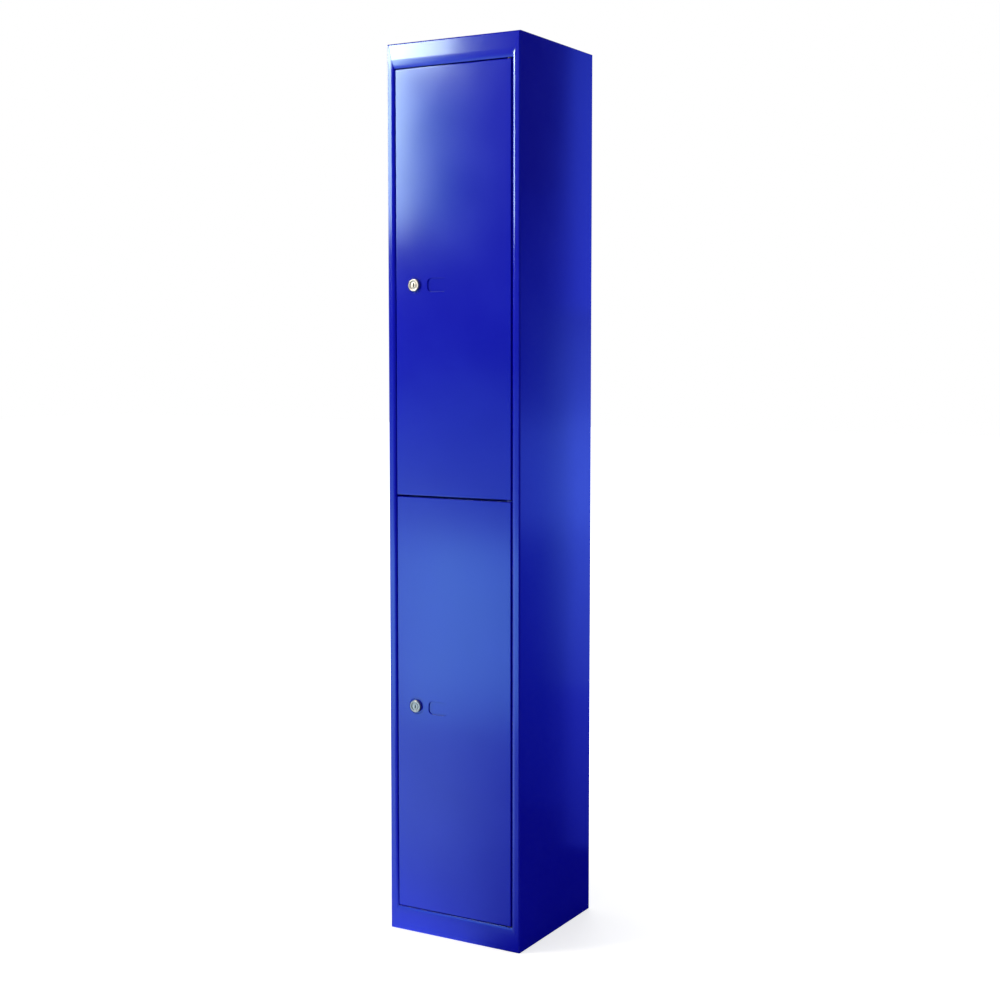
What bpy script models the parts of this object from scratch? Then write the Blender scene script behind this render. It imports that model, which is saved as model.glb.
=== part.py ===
"""Two-tier steel school locker: folded sheet cabinet, two pan doors on concealed pivots, two cam locks.

Metres, +Z up, the front towards -Y. The origin is on the floor, at the middle of the footprint.
"""

import math

import bmesh
import bpy

# Cabinet
WIDTH = 0.305
DEPTH = 0.305
HEIGHT = 1.802
SHEET = 0.001
SEAT = 0.0003  # clearance between pieces that touch

# Front frame: a ring of folded sheet round both doors
EDGE_RADIUS = 0.003  # rounding of the cabinet's front edges
FRAME_FLANGE = 0.0105  # front plane to the seam with the side panels
STILE_FACE = 0.0175  # cabinet side to the edge of the door opening
RAIL_FACE = 0.049  # cabinet top or floor to the edge of the door opening
STILE_ROLL = 0.0075  # width of the convex roll beside the doors
RAIL_ROLL = 0.0185  # height of the same roll above and below the doors
ROLL_DEPTH = 0.0035
STOP_LIP = 0.012  # width of the lip that the doors close against
STOP_SPACE = 0.0035  # door back to stop lip, taken up by the buffers

# Cabinet panels
BACK_FOLD = 0.015  # fold of each side panel round the back edge
TOP_FLANGE = 0.015
SHELF_SKIRT = 0.020
FOOT_LIP = 0.020  # inward lip of the base tray, which stands on the floor

# Doors
DOOR_GAP = 0.0025
TIER_GAP = 0.004
DOOR_SETBACK = 0.0005
DOOR_THICKNESS = 0.018
DOOR_EDGE_RADIUS = 0.0015
DOOR_RETURN = 0.012
STIFFENER_WIDTH = 0.060
STIFFENER_CROWN = 0.030
STIFFENER_DEPTH = 0.013
STIFFENER_X = 0.050

# Concealed pivots
PIVOT_INSET = 0.0055  # pivot axis from the door's hinge edge
PIVOT_BACK = 0.006  # pivot axis behind the door's face
PIN_DIAMETER = 0.004
PIN_HEAD_DIAMETER = 0.006
PIN_HEAD_HEIGHT = 0.0015
PIN_ENGAGEMENT = 0.008  # length of pin inside a door
BUSH_DIAMETER = 0.007
BUSH_FLANGE_DIAMETER = 0.0095
BUSH_LENGTH = 0.006
BRACKET_SHEET = 0.0012
BRACKET_TAB_HEIGHT = 0.036
BRACKET_NOSE = 0.005  # bracket plate beyond the pivot axis

# Door buffers
BUFFER_DIAMETER = 0.009
BUFFER_FROM_DOOR_END = 0.120

# Lock, label recess
LOCK_INSET = 0.044  # lock axis from the door's free edge
LOCK_DROP = 0.003  # lock and label centres below the middle of the door
CUP_DIAMETER = 0.033
CUP_DEPTH = 0.0012
CUP_WALL_RUN = 0.0012  # how far the pressed wall leans in
BEZEL_DIAMETER = 0.025
BEZEL_PROUD = 0.005
BEZEL_RADIUS = 0.0015
BEZEL_STEP_DIAMETER = 0.0175
BEZEL_STEP_DEPTH = 0.0006
LOCK_BODY_DIAMETER = 0.0184
PLUG_DIAMETER = 0.0135
KEYWAY_WIDTH = 0.0022
KEYWAY_HEIGHT = 0.0085
KEYWAY_DEPTH = 0.016
NUT_ACROSS_FLATS = 0.024
NUT_THICKNESS = 0.005
CAM_CLEAR = 0.0015  # cam face behind the stop lip
CAM_THICKNESS = 0.0025
CAM_HUB_DIAMETER = 0.018
CAM_TIP_WIDTH = 0.013
CAM_OVERLAP = 0.009  # reach of the turned cam behind the stop lip
CAM_SQUARE = 0.008
CAM_SCREW_DIAMETER = 0.004
CAM_SCREW_HEAD = 0.011
CAM_SCREW_HEAD_HEIGHT = 0.003
CAM_SCREW_LENGTH = 0.008
LABEL_INSET = 0.0965  # label recess centre from the door's free edge
LABEL_WIDTH = 0.046
LABEL_HEIGHT = 0.0275
LABEL_RADIUS = 0.0095
LABEL_DEPTH = 0.0024
LABEL_WALL_RUN = 0.0014

# Coat hooks
HOOK_PLATE_LENGTH = 0.056
HOOK_PLATE_WIDTH = 0.020
HOOK_PLATE_THICKNESS = 0.0025
HOOK_WIRE = 0.005
HOOK_LEG_X = 0.008
HOOK_LEG_DROP = 0.024
HOOK_BEND_RADIUS = 0.011
HOOK_TIP_RISE = 0.008

# Facets
EDGE_STEPS = 3
ROLL_STEPS = 6
CORNER_STEPS = 6
ROUND_SIDES = 32
SMALL_SIDES = 20
WIRE_RESOLUTION = 2
BEND_STEPS = 8
CUT = 0.002  # how far a cutter runs past the wall it cuts

# Worked out from the sizes above
STOP_DEPTH = DOOR_SETBACK + DOOR_THICKNESS + STOP_SPACE
FRONT_Y = -(DEPTH - (BEZEL_PROUD - DOOR_SETBACK)) / 2
BACK_Y = FRONT_Y + DEPTH
PANEL_FRONT_Y = FRONT_Y + FRAME_FLANGE + SEAT
INNER_HALF = WIDTH / 2 - SHEET - SEAT
INNER_FRONT_Y = FRONT_Y + STOP_DEPTH + SHEET + SEAT
INNER_BACK_Y = BACK_Y - 2 * SHEET - 2 * SEAT
INNER_LENGTH = INNER_BACK_Y - INNER_FRONT_Y
INNER_MIDDLE_Y = (INNER_FRONT_Y + INNER_BACK_Y) / 2
TIER_Z = HEIGHT / 2
SHELF_TOP_Z = TIER_Z + SHELF_SKIRT / 2
OPENING_HALF_WIDTH = WIDTH / 2 - STILE_FACE
DOOR_WIDTH = 2 * (OPENING_HALF_WIDTH - DOOR_GAP)
DOOR_HEIGHT = (HEIGHT - 2 * (RAIL_FACE + DOOR_GAP) - TIER_GAP) / 2
DOOR_FACE_Y = FRONT_Y + DOOR_SETBACK
DOOR_Z = {
    "upper": TIER_Z + (TIER_GAP + DOOR_HEIGHT) / 2,
    "lower": TIER_Z - (TIER_GAP + DOOR_HEIGHT) / 2,
}
LOCK_Z = {tier: middle - LOCK_DROP for tier, middle in DOOR_Z.items()}
HINGE_X = DOOR_WIDTH / 2 - PIVOT_INSET
HINGE_Y = DOOR_FACE_Y + PIVOT_BACK
LOCK_X = -DOOR_WIDTH / 2 + LOCK_INSET
LABEL_X = -DOOR_WIDTH / 2 + LABEL_INSET
CAM_FRONT = STOP_DEPTH + SHEET + CAM_CLEAR - DOOR_SETBACK  # door face to cam
CAM_REACH = LOCK_X + OPENING_HALF_WIDTH - STOP_LIP + CAM_OVERLAP
QUARTER_TURN = math.pi / 2

FRONT_FACING = (QUARTER_TURN, 0, 0)  # turns a piece's own +Z to the front and its +Y up
PAINT = ((0.005, 0.004, 0.42), 0.30, 0.0)
NICKEL = ((0.62, 0.62, 0.60), 0.22, 1.0)
ZINC = ((0.55, 0.56, 0.58), 0.40, 1.0)
NYLON = ((0.035, 0.035, 0.037), 0.50, 0.0)
RUBBER = ((0.03, 0.03, 0.032), 0.80, 0.0)

parts = bpy.data.collections.new("school_locker")
cutters = bpy.data.collections.new("cutters")


def clear_scene():
    """Starts from an empty scene with a collection for the parts and one for the cutters."""
    for old in list(bpy.data.objects):
        bpy.data.objects.remove(old)
    for collection in (parts, cutters):
        bpy.context.scene.collection.children.link(collection)


def new_object(name, mesh):
    """Links a mesh or curve as a part."""
    piece = bpy.data.objects.new(name, mesh)
    parts.objects.link(piece)
    return piece


def from_bmesh(name, shape):
    """Turns a bmesh into a part, shaded smooth with sharp edges kept."""
    mesh = bpy.data.meshes.new(name)
    shape.to_mesh(mesh)
    shape.free()
    mesh.shade_smooth()
    mesh.set_sharp_from_angle(angle=math.radians(35))
    return new_object(name, mesh)


def finish(piece, look):
    """Gives a part its own material."""
    colour, roughness, metallic = look
    material = bpy.data.materials.new(piece.name)
    material.use_nodes = True
    shader = material.node_tree.nodes["Principled BSDF"]
    shader.inputs["Base Color"].default_value = (*colour, 1)
    shader.inputs["Roughness"].default_value = roughness
    shader.inputs["Metallic"].default_value = metallic
    piece.data.materials.append(material)


def place(piece, at, turn=(0, 0, 0), carrier=None):
    """Puts a part at a point of the world, under the empty that carries it."""
    piece.rotation_euler = turn
    piece.location = at
    if carrier:
        piece.parent = carrier
        piece.location = [a - c for a, c in zip(at, carrier.location)]


def axis_empty(name, at):
    """An empty on a joint's axis, for the parts that turn about it."""
    empty = new_object(name, None)
    empty.empty_display_size = 0.02
    empty.location = at
    return empty


def solidify(piece, thickness):
    """Thickens an open sheet behind its outer face."""
    modifier = piece.modifiers.new("sheet", "SOLIDIFY")
    modifier.thickness = thickness
    modifier.offset = -1
    modifier.use_even_offset = True


def combine(piece, other, operation):
    """Cuts or joins another mesh, which is then only a helper."""
    modifier = piece.modifiers.new(other.name, "BOOLEAN")
    modifier.operation = operation
    modifier.object = other
    modifier.solver = "EXACT"
    if other.name in parts.objects:
        parts.objects.unlink(other)
        cutters.objects.link(other)
    other.hide_render = True
    other.display_type = "WIRE"


def ring_sheet(name, rings, capped, thickness=SHEET):
    """A sheet folded through rectangular rings, each (half width, half height, z), outer face outside."""
    shape = bmesh.new()
    rows = []
    for half_x, half_y, z in rings:
        corners = ((-half_x, -half_y), (half_x, -half_y), (half_x, half_y), (-half_x, half_y))
        rows.append([shape.verts.new((x, y, z)) for x, y in corners])
    for low, high in zip(rows, rows[1:]):
        for side in range(4):
            after = (side + 1) % 4
            shape.faces.new((low[side], low[after], high[after], high[side]))
    if capped:
        shape.faces.new(rows[-1])
    piece = from_bmesh(name, shape)
    solidify(piece, thickness)
    return piece


def edge_arc(half_x, half_y, radius, steps):
    """Rings round an outer edge, from the wall up to the face at z = 0."""
    rings = []
    for step in range(steps + 1):
        angle = QUARTER_TURN * step / steps
        inset = radius * (1 - math.cos(angle))
        rings.append((half_x - inset, half_y - inset, radius * (math.sin(angle) - 1)))
    return rings


def pan(name, width, length, depth, lip, radius):
    """A tray of folded sheet: plate at z = 0 facing up, walls down to -depth, lips inwards."""
    half_x, half_y = width / 2, length / 2
    rings = [(half_x, half_y, -depth)]
    if lip:
        rings.insert(0, (half_x - lip, half_y - lip, -depth))
    rings += edge_arc(half_x, half_y, radius, EDGE_STEPS)
    return ring_sheet(name, rings, capped=True)


def folded_sheet(name, profile, length, thickness=SHEET):
    """A profile of folds in X and Y, drawn out along Z, outer face on the right of the walk."""
    shape = bmesh.new()
    low = [shape.verts.new((x, y, -length / 2)) for x, y in profile]
    high = [shape.verts.new((x, y, length / 2)) for x, y in profile]
    for first in range(len(profile) - 1):
        after = first + 1
        shape.faces.new((low[first], low[after], high[after], high[first]))
    piece = from_bmesh(name, shape)
    solidify(piece, thickness)
    return piece


def turned(name, profile, closed, sides=ROUND_SIDES):
    """A profile of (radius, z) turned round Z, running down its outer side."""
    mesh = bpy.data.meshes.new(name)
    count = len(profile)
    edges = [(i, (i + 1) % count) for i in range(count if closed else count - 1)]
    mesh.from_pydata([(radius, 0, z) for radius, z in profile], edges, [])
    piece = new_object(name, mesh)
    screw = piece.modifiers.new("turn", "SCREW")
    screw.steps = screw.render_steps = sides
    screw.use_merge_vertices = True
    screw.merge_threshold = 0.00001
    screw.use_smooth_shade = False
    return piece


def cylinder(name, radius, top, bottom, sides=SMALL_SIDES):
    """A solid round bar along Z."""
    return turned(name, [(0, top), (radius, top), (radius, bottom), (0, bottom)], False, sides)


def block(name, low, high):
    """A box between two corners."""
    shape = bmesh.new()
    bmesh.ops.create_cube(shape, size=1)
    for vertex in shape.verts:
        vertex.co = [lo + (hi - lo) * (c + 0.5) for lo, hi, c in zip(low, high, vertex.co)]
    return from_bmesh(name, shape)


def rounded_outline(width, height, radius):
    """The points of a rectangle with round corners, anticlockwise."""
    points = []
    for corner, (side_x, side_y) in enumerate(((1, 1), (-1, 1), (-1, -1), (1, -1))):
        centre = (side_x * (width / 2 - radius), side_y * (height / 2 - radius))
        for step in range(CORNER_STEPS + 1):
            angle = QUARTER_TURN * (corner + step / CORNER_STEPS)
            points.append((centre[0] + radius * math.cos(angle), centre[1] + radius * math.sin(angle)))
    return points


def loft(name, low, high, low_z, high_z):
    """A solid between two outlines with as many points, anticlockwise from above."""
    shape = bmesh.new()
    bottom = [shape.verts.new((x, y, low_z)) for x, y in low]
    top = [shape.verts.new((x, y, high_z)) for x, y in high]
    for first in range(len(low)):
        after = (first + 1) % len(low)
        shape.faces.new((bottom[first], bottom[after], top[after], top[first]))
    shape.faces.new(top)
    shape.faces.new(bottom[::-1])
    return from_bmesh(name, shape)


def wire(name, points, diameter):
    """A bent round wire as a mesh, so that it can be joined to a plate."""
    curve = bpy.data.curves.new(name, "CURVE")
    curve.dimensions = "3D"
    curve.bevel_depth = diameter / 2
    curve.bevel_resolution = WIRE_RESOLUTION
    curve.use_fill_caps = True
    spline = curve.splines.new("POLY")
    spline.points.add(len(points) - 1)
    for point, co in zip(spline.points, points):
        point.co = (*co, 1)
    guide = new_object(name + "_guide", curve)
    bpy.context.view_layer.update()
    mesh = bpy.data.meshes.new_from_object(guide.evaluated_get(bpy.context.evaluated_depsgraph_get()))
    bpy.data.objects.remove(guide)
    shape = bmesh.new()
    shape.from_mesh(mesh)
    bmesh.ops.remove_doubles(shape, verts=shape.verts, dist=0.00001)
    return from_bmesh(name, shape)


def front_frame():
    """The welded ring round the doors: rounded edge, flat face, roll, return and stop lip."""
    half_x, half_y = WIDTH / 2, HEIGHT / 2
    rings = [(half_x, half_y, -FRAME_FLANGE)]
    rings += edge_arc(half_x, half_y, EDGE_RADIUS, EDGE_STEPS)
    for step in range(ROLL_STEPS + 1):
        angle = QUARTER_TURN * step / ROLL_STEPS
        across = STILE_FACE - STILE_ROLL * (1 - math.sin(angle))
        down = RAIL_FACE - RAIL_ROLL * (1 - math.sin(angle))
        rings.append((half_x - across, half_y - down, -ROLL_DEPTH * (1 - math.cos(angle))))
    half_x, half_y = half_x - STILE_FACE, half_y - RAIL_FACE
    rings.append((half_x, half_y, -STOP_DEPTH))
    rings.append((half_x - STOP_LIP, half_y - STOP_LIP, -STOP_DEPTH))
    frame = ring_sheet("front_frame", rings, capped=False)
    place(frame, (0, FRONT_Y, HEIGHT / 2), FRONT_FACING)
    for end, z, turn in (("top", HEIGHT - RAIL_FACE, 0), ("bottom", RAIL_FACE, math.pi)):
        hole = cylinder(f"frame_{end}_pin_hole", PIN_DIAMETER / 2 + SEAT, SHEET + CUT, -CUT)
        place(hole, (HINGE_X, HINGE_Y, z), (turn, 0, 0))
        combine(frame, hole, "DIFFERENCE")
    finish(frame, PAINT)


def side_panels():
    """The two sides, each folded round the back edge."""
    front, back = PANEL_FRONT_Y, BACK_Y
    left = [(BACK_FOLD, back), (0, back), (0, front)]
    right = [(-x, y) for x, y in reversed(left)]
    for name, profile, x in (("left", left, -WIDTH / 2), ("right", right, WIDTH / 2)):
        panel = folded_sheet(name + "_side_panel", profile, HEIGHT)
        place(panel, (x, 0, HEIGHT / 2))
        finish(panel, PAINT)


def top_panel():
    """The top: a channel folded down inside both sides."""
    half, drop = INNER_HALF, -TOP_FLANGE
    profile = [(half, drop), (half, 0), (-half, 0), (-half, drop)]
    panel = folded_sheet("top_panel", profile, INNER_BACK_Y - PANEL_FRONT_Y)
    place(panel, (0, (INNER_BACK_Y + PANEL_FRONT_Y) / 2, HEIGHT), FRONT_FACING)
    finish(panel, PAINT)


def inner_trays():
    """The base tray, which stands on its foot lips, and the shelf between the tiers."""
    for name, top, skirt, lip in (
        ("base_tray", RAIL_FACE, RAIL_FACE, FOOT_LIP),
        ("tier_shelf", SHELF_TOP_Z, SHELF_SKIRT, 0),
    ):
        tray = pan(name, 2 * INNER_HALF, INNER_LENGTH, skirt, lip, SHEET)
        place(tray, (0, INNER_MIDDLE_Y, top))
        finish(tray, PAINT)


def back_panel():
    """The flat back, held inside the folds of the sides."""
    panel = block("back_panel", (-INNER_HALF, -SHEET, 0), (INNER_HALF, 0, HEIGHT))
    place(panel, (0, BACK_Y - SHEET - SEAT, 0))
    finish(panel, PAINT)


def coat_hook(tier, ceiling_z):
    """A double hook under a compartment's ceiling: two bent wires welded to a plate."""
    half_x, half_y = HOOK_PLATE_LENGTH / 2, HOOK_PLATE_WIDTH / 2
    hook = block(tier + "_coat_hook", (-half_x, -half_y, -HOOK_PLATE_THICKNESS), (half_x, half_y, 0))
    for side in (-1, 1):
        points = [(HOOK_LEG_X, -HOOK_PLATE_THICKNESS / 2)]
        for step in range(BEND_STEPS + 1):
            angle = math.pi * (1 + step / BEND_STEPS)
            across = HOOK_LEG_X + HOOK_BEND_RADIUS * (1 + math.cos(angle))
            points.append((across, HOOK_BEND_RADIUS * math.sin(angle) - HOOK_LEG_DROP))
        points.append((HOOK_LEG_X + 2 * HOOK_BEND_RADIUS, HOOK_TIP_RISE - HOOK_LEG_DROP))
        prong = wire(tier + "_hook_wire", [(side * x, 0, z) for x, z in points], HOOK_WIRE)
        place(prong, (0, INNER_MIDDLE_Y, ceiling_z - SEAT))
        combine(hook, prong, "UNION")
    place(hook, (0, INNER_MIDDLE_Y, ceiling_z - SEAT))
    finish(hook, ZINC)


def door_buffers():
    """Rubber pads on the stop lip beside the lock edge, two to a door."""
    x = -OPENING_HALF_WIDTH + STOP_LIP / 2
    for tier, middle in DOOR_Z.items():
        for end, side in (("top", 1), ("bottom", -1)):
            name = f"{tier}_buffer_{end}"
            buffer = cylinder(name, BUFFER_DIAMETER / 2, STOP_SPACE - SEAT, SEAT)
            z = middle + side * (DOOR_HEIGHT / 2 - BUFFER_FROM_DOOR_END)
            place(buffer, (x, FRONT_Y + STOP_DEPTH, z), FRONT_FACING)
            finish(buffer, RUBBER)


def pivot_pins():
    """Headed pins through the frame, above the upper door and below the lower one."""
    radius, head = PIN_DIAMETER / 2, PIN_HEAD_DIAMETER / 2
    top = SHEET + SEAT
    tip = -DOOR_GAP - PIN_ENGAGEMENT
    profile = [(0, top + PIN_HEAD_HEIGHT), (head, top + PIN_HEAD_HEIGHT), (head, top)]
    profile += [(radius, top), (radius, tip), (0, tip)]
    for name, z, turn in (("top", HEIGHT - RAIL_FACE, 0), ("bottom", RAIL_FACE, math.pi)):
        pin = turned(name + "_pivot_pin", profile, False, SMALL_SIDES)
        place(pin, (HINGE_X, HINGE_Y, z), (turn, 0, 0))
        finish(pin, ZINC)


def centre_pivot_bracket():
    """The bracket in the gap between the doors: plate, tab on the stop lip and a pin both ways."""
    lip_face = FRONT_Y + STOP_DEPTH - SEAT
    half, outer = BRACKET_SHEET / 2, OPENING_HALF_WIDTH - SEAT
    inner = HINGE_X - BRACKET_NOSE
    plate = block(
        "centre_pivot_bracket",
        (inner, HINGE_Y - BRACKET_NOSE, -half),
        (outer, lip_face - BRACKET_SHEET / 2, half),
    )
    tab = block(
        "bracket_tab",
        (inner, lip_face - BRACKET_SHEET, -BRACKET_TAB_HEIGHT / 2),
        (outer, lip_face, BRACKET_TAB_HEIGHT / 2),
    )
    reach = TIER_GAP / 2 + PIN_ENGAGEMENT
    pin = cylinder("bracket_pin", PIN_DIAMETER / 2, reach, -reach)
    place(plate, (0, 0, TIER_Z))
    place(tab, (0, 0, TIER_Z))
    place(pin, (HINGE_X, HINGE_Y, TIER_Z))
    combine(plate, tab, "UNION")
    combine(plate, pin, "UNION")
    finish(plate, PAINT)


def door_skin(tier, carrier):
    """The door's folded pan, with its lock cup, label recess, lock hole and pivot holes."""
    skin = pan(tier + "_door", DOOR_WIDTH, DOOR_HEIGHT, DOOR_THICKNESS, DOOR_RETURN, DOOR_EDGE_RADIUS)
    place(skin, (0, DOOR_FACE_Y, DOOR_Z[tier]), FRONT_FACING, carrier)
    for name, x, size, depth, run in (
        ("cup", LOCK_X, (CUP_DIAMETER, CUP_DIAMETER, CUP_DIAMETER / 2), CUP_DEPTH, CUP_WALL_RUN),
        ("label", LABEL_X, (LABEL_WIDTH, LABEL_HEIGHT, LABEL_RADIUS), LABEL_DEPTH, LABEL_WALL_RUN),
    ):
        for helper, outwards, top, floor, operation in (
            ("_back", SHEET, -SHEET / 2, -depth - SHEET, "UNION"),
            ("_cut", 0, CUT, -depth, "DIFFERENCE"),
        ):
            outlines = []
            for z in (floor, top):
                grow = outwards - run + run / depth * (z + depth + outwards)
                outlines.append(rounded_outline(*(s + k * grow for s, k in zip(size, (2, 2, 1)))))
            recess = loft(tier + "_" + name + helper, *outlines, floor, top)
            place(recess, (x, DOOR_FACE_Y, LOCK_Z[tier]), FRONT_FACING, carrier)
            combine(skin, recess, operation)
    low = -CUP_DEPTH - SHEET - CUT
    hole = cylinder(tier + "_lock_hole", LOCK_BODY_DIAMETER / 2 + SEAT, CUT, low, ROUND_SIDES)
    place(hole, (LOCK_X, DOOR_FACE_Y, LOCK_Z[tier]), FRONT_FACING, carrier)
    combine(skin, hole, "DIFFERENCE")
    for end in (-1, 1):
        hole = cylinder(tier + "_pivot_hole", BUSH_DIAMETER / 2 + SEAT, CUT, -CUT)
        place(hole, (HINGE_X, HINGE_Y, DOOR_Z[tier] + end * DOOR_HEIGHT / 2), carrier=carrier)
        combine(skin, hole, "DIFFERENCE")
    finish(skin, PAINT)


def door_stiffener(tier, carrier):
    """A hat section behind the door's skin, towards the hinge side."""
    flange, crown = STIFFENER_WIDTH / 2, STIFFENER_CROWN / 2
    foot = (flange + crown) / 2
    deep = STIFFENER_DEPTH
    profile = [(-flange, 0), (-foot, 0), (-crown, deep), (crown, deep), (foot, 0), (flange, 0)]
    length = DOOR_HEIGHT - 2 * (SHEET + DOOR_EDGE_RADIUS)
    stiffener = folded_sheet(tier + "_door_stiffener", profile, length)
    place(stiffener, (STIFFENER_X, DOOR_FACE_Y + SHEET + SEAT, DOOR_Z[tier]), carrier=carrier)
    finish(stiffener, PAINT)


def pivot_bushes(tier, carrier):
    """Nylon bushes in the ends of a door, flanged to carry it on the frame or the bracket."""
    gaps = {"top": DOOR_GAP, "bottom": DOOR_GAP}
    gaps["bottom" if tier == "upper" else "top"] = (TIER_GAP - BRACKET_SHEET) / 2
    bore = PIN_DIAMETER / 2 + SEAT
    for end, gap in gaps.items():
        flange, body = BUSH_FLANGE_DIAMETER / 2, BUSH_DIAMETER / 2
        profile = [(bore, gap - SEAT), (flange, gap - SEAT), (flange, SEAT), (body, SEAT)]
        profile += [(body, SEAT - BUSH_LENGTH), (bore, SEAT - BUSH_LENGTH)]
        bush = turned(f"{tier}_bush_{end}", profile, True, SMALL_SIDES)
        side = 1 if end == "top" else -1
        z = DOOR_Z[tier] + side * DOOR_HEIGHT / 2
        place(bush, (HINGE_X, HINGE_Y, z), (0 if side > 0 else math.pi, 0, 0), carrier)
        finish(bush, NYLON)


def lock_housing(tier, carrier):
    """The lock's bezel and threaded body, and the nut that clamps it to the door."""
    at = (LOCK_X, DOOR_FACE_Y, LOCK_Z[tier])
    bore, body = PLUG_DIAMETER / 2 + SEAT, LOCK_BODY_DIAMETER / 2
    rim, step = BEZEL_DIAMETER / 2, BEZEL_STEP_DIAMETER / 2
    profile = [(bore, BEZEL_PROUD - BEZEL_STEP_DEPTH), (step, BEZEL_PROUD - BEZEL_STEP_DEPTH)]
    profile.append((step + BEZEL_STEP_DEPTH, BEZEL_PROUD))
    for turn in range(EDGE_STEPS + 1):
        angle = QUARTER_TURN * turn / EDGE_STEPS
        across = rim - BEZEL_RADIUS * (1 - math.sin(angle))
        profile.append((across, BEZEL_PROUD - BEZEL_RADIUS * (1 - math.cos(angle))))
    seat = SEAT - CUP_DEPTH
    profile += [(rim, seat), (body, seat), (body, 2 * SEAT - CAM_FRONT), (bore, 2 * SEAT - CAM_FRONT)]
    housing = turned(tier + "_lock_housing", profile, True)
    place(housing, at, FRONT_FACING, carrier)
    finish(housing, NICKEL)

    top = -CUP_DEPTH - SHEET - SEAT
    corner = NUT_ACROSS_FLATS / 2 / math.cos(math.pi / 6)
    nut = cylinder(tier + "_lock_nut", corner, top, top - NUT_THICKNESS, 6)
    hole = cylinder(tier + "_nut_hole", body + SEAT, top + CUT, top - NUT_THICKNESS - CUT)
    for piece in (nut, hole):
        place(piece, at, FRONT_FACING, carrier)
    combine(nut, hole, "DIFFERENCE")
    finish(nut, ZINC)


def lock_plug(tier, carrier):
    """The turning plug: keyway in front, square drive and screw hole behind."""
    at = (LOCK_X, DOOR_FACE_Y, LOCK_Z[tier])
    face = BEZEL_PROUD - BEZEL_STEP_DEPTH
    back = SEAT - CAM_FRONT
    drive_end = -CAM_FRONT - CAM_THICKNESS + SEAT
    plug = cylinder(tier + "_lock_plug", PLUG_DIAMETER / 2, face, back, ROUND_SIDES)
    half = CAM_SQUARE / 2 - SEAT
    drive = block(tier + "_drive", (-half, -half, drive_end), (half, half, back + CUT))
    slot = block(
        tier + "_keyway",
        (-KEYWAY_WIDTH / 2, -KEYWAY_HEIGHT / 2, face - KEYWAY_DEPTH),
        (KEYWAY_WIDTH / 2, KEYWAY_HEIGHT / 2, face + CUT),
    )
    low, high = drive_end - CUT, drive_end + CAM_SCREW_LENGTH + SEAT
    tapping = cylinder(tier + "_tapping", CAM_SCREW_DIAMETER / 2 + SEAT, high, low)
    for piece in (plug, drive, slot, tapping):
        place(piece, at, FRONT_FACING, carrier)
    combine(plug, drive, "UNION")
    combine(plug, slot, "DIFFERENCE")
    combine(plug, tapping, "DIFFERENCE")
    finish(plug, NICKEL)


def lock_cam(tier, carrier):
    """The cam that hangs down when open, with the screw that holds it on the plug."""
    at = (LOCK_X, DOOR_FACE_Y, LOCK_Z[tier])
    hub, tip = CAM_HUB_DIAMETER / 2, CAM_TIP_WIDTH / 2
    outline = []
    for step in range(ROUND_SIDES // 2 + 1):
        angle = math.pi * step / (ROUND_SIDES // 2)
        outline.append((hub * math.cos(angle), hub * math.sin(angle)))
    for step in range(CORNER_STEPS + 1):
        angle = math.pi * (1 + step / CORNER_STEPS)
        outline.append((tip * math.cos(angle), tip * math.sin(angle) + tip - CAM_REACH))
    front, back = -CAM_FRONT, -CAM_FRONT - CAM_THICKNESS
    cam = loft(tier + "_lock_cam", outline, outline, back, front)
    half = CAM_SQUARE / 2
    square = block(tier + "_cam_square", (-half, -half, back - CUT), (half, half, front + CUT))
    head = back - SEAT
    shank, rim = CAM_SCREW_DIAMETER / 2, CAM_SCREW_HEAD / 2
    profile = [(0, back + CAM_SCREW_LENGTH), (shank, back + CAM_SCREW_LENGTH), (shank, head), (rim, head)]
    profile += [(rim, head - CAM_SCREW_HEAD_HEIGHT), (0, head - CAM_SCREW_HEAD_HEIGHT)]
    screw = turned(tier + "_cam_screw", profile, False, SMALL_SIDES)
    for piece in (cam, square, screw):
        place(piece, at, FRONT_FACING, carrier)
    combine(cam, square, "DIFFERENCE")
    finish(cam, ZINC)
    finish(screw, ZINC)


def main():
    clear_scene()
    front_frame()
    side_panels()
    top_panel()
    inner_trays()
    back_panel()
    coat_hook("upper", HEIGHT - SHEET)
    coat_hook("lower", SHELF_TOP_Z - SHEET)
    door_buffers()
    pivot_pins()
    centre_pivot_bracket()
    for tier, middle in DOOR_Z.items():
        hinge = axis_empty(tier + "_door_axis", (HINGE_X, HINGE_Y, middle))
        lock = axis_empty(tier + "_lock_axis", (LOCK_X, DOOR_FACE_Y, LOCK_Z[tier]))
        door_skin(tier, hinge)
        door_stiffener(tier, hinge)
        pivot_bushes(tier, hinge)
        lock_housing(tier, hinge)
        lock_plug(tier, lock)
        lock_cam(tier, lock)


main()
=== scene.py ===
"""Looks of the two-tier school locker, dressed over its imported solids.

Metres, +Z up, the front towards -Y. Sheet pieces are folded ring by ring in edit mode, round pieces are spun
from a profile, and every finish is procedural on Object coordinates.
"""

import logging
import math
from collections.abc import Callable, Iterable
from dataclasses import dataclass
from enum import Enum

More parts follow.
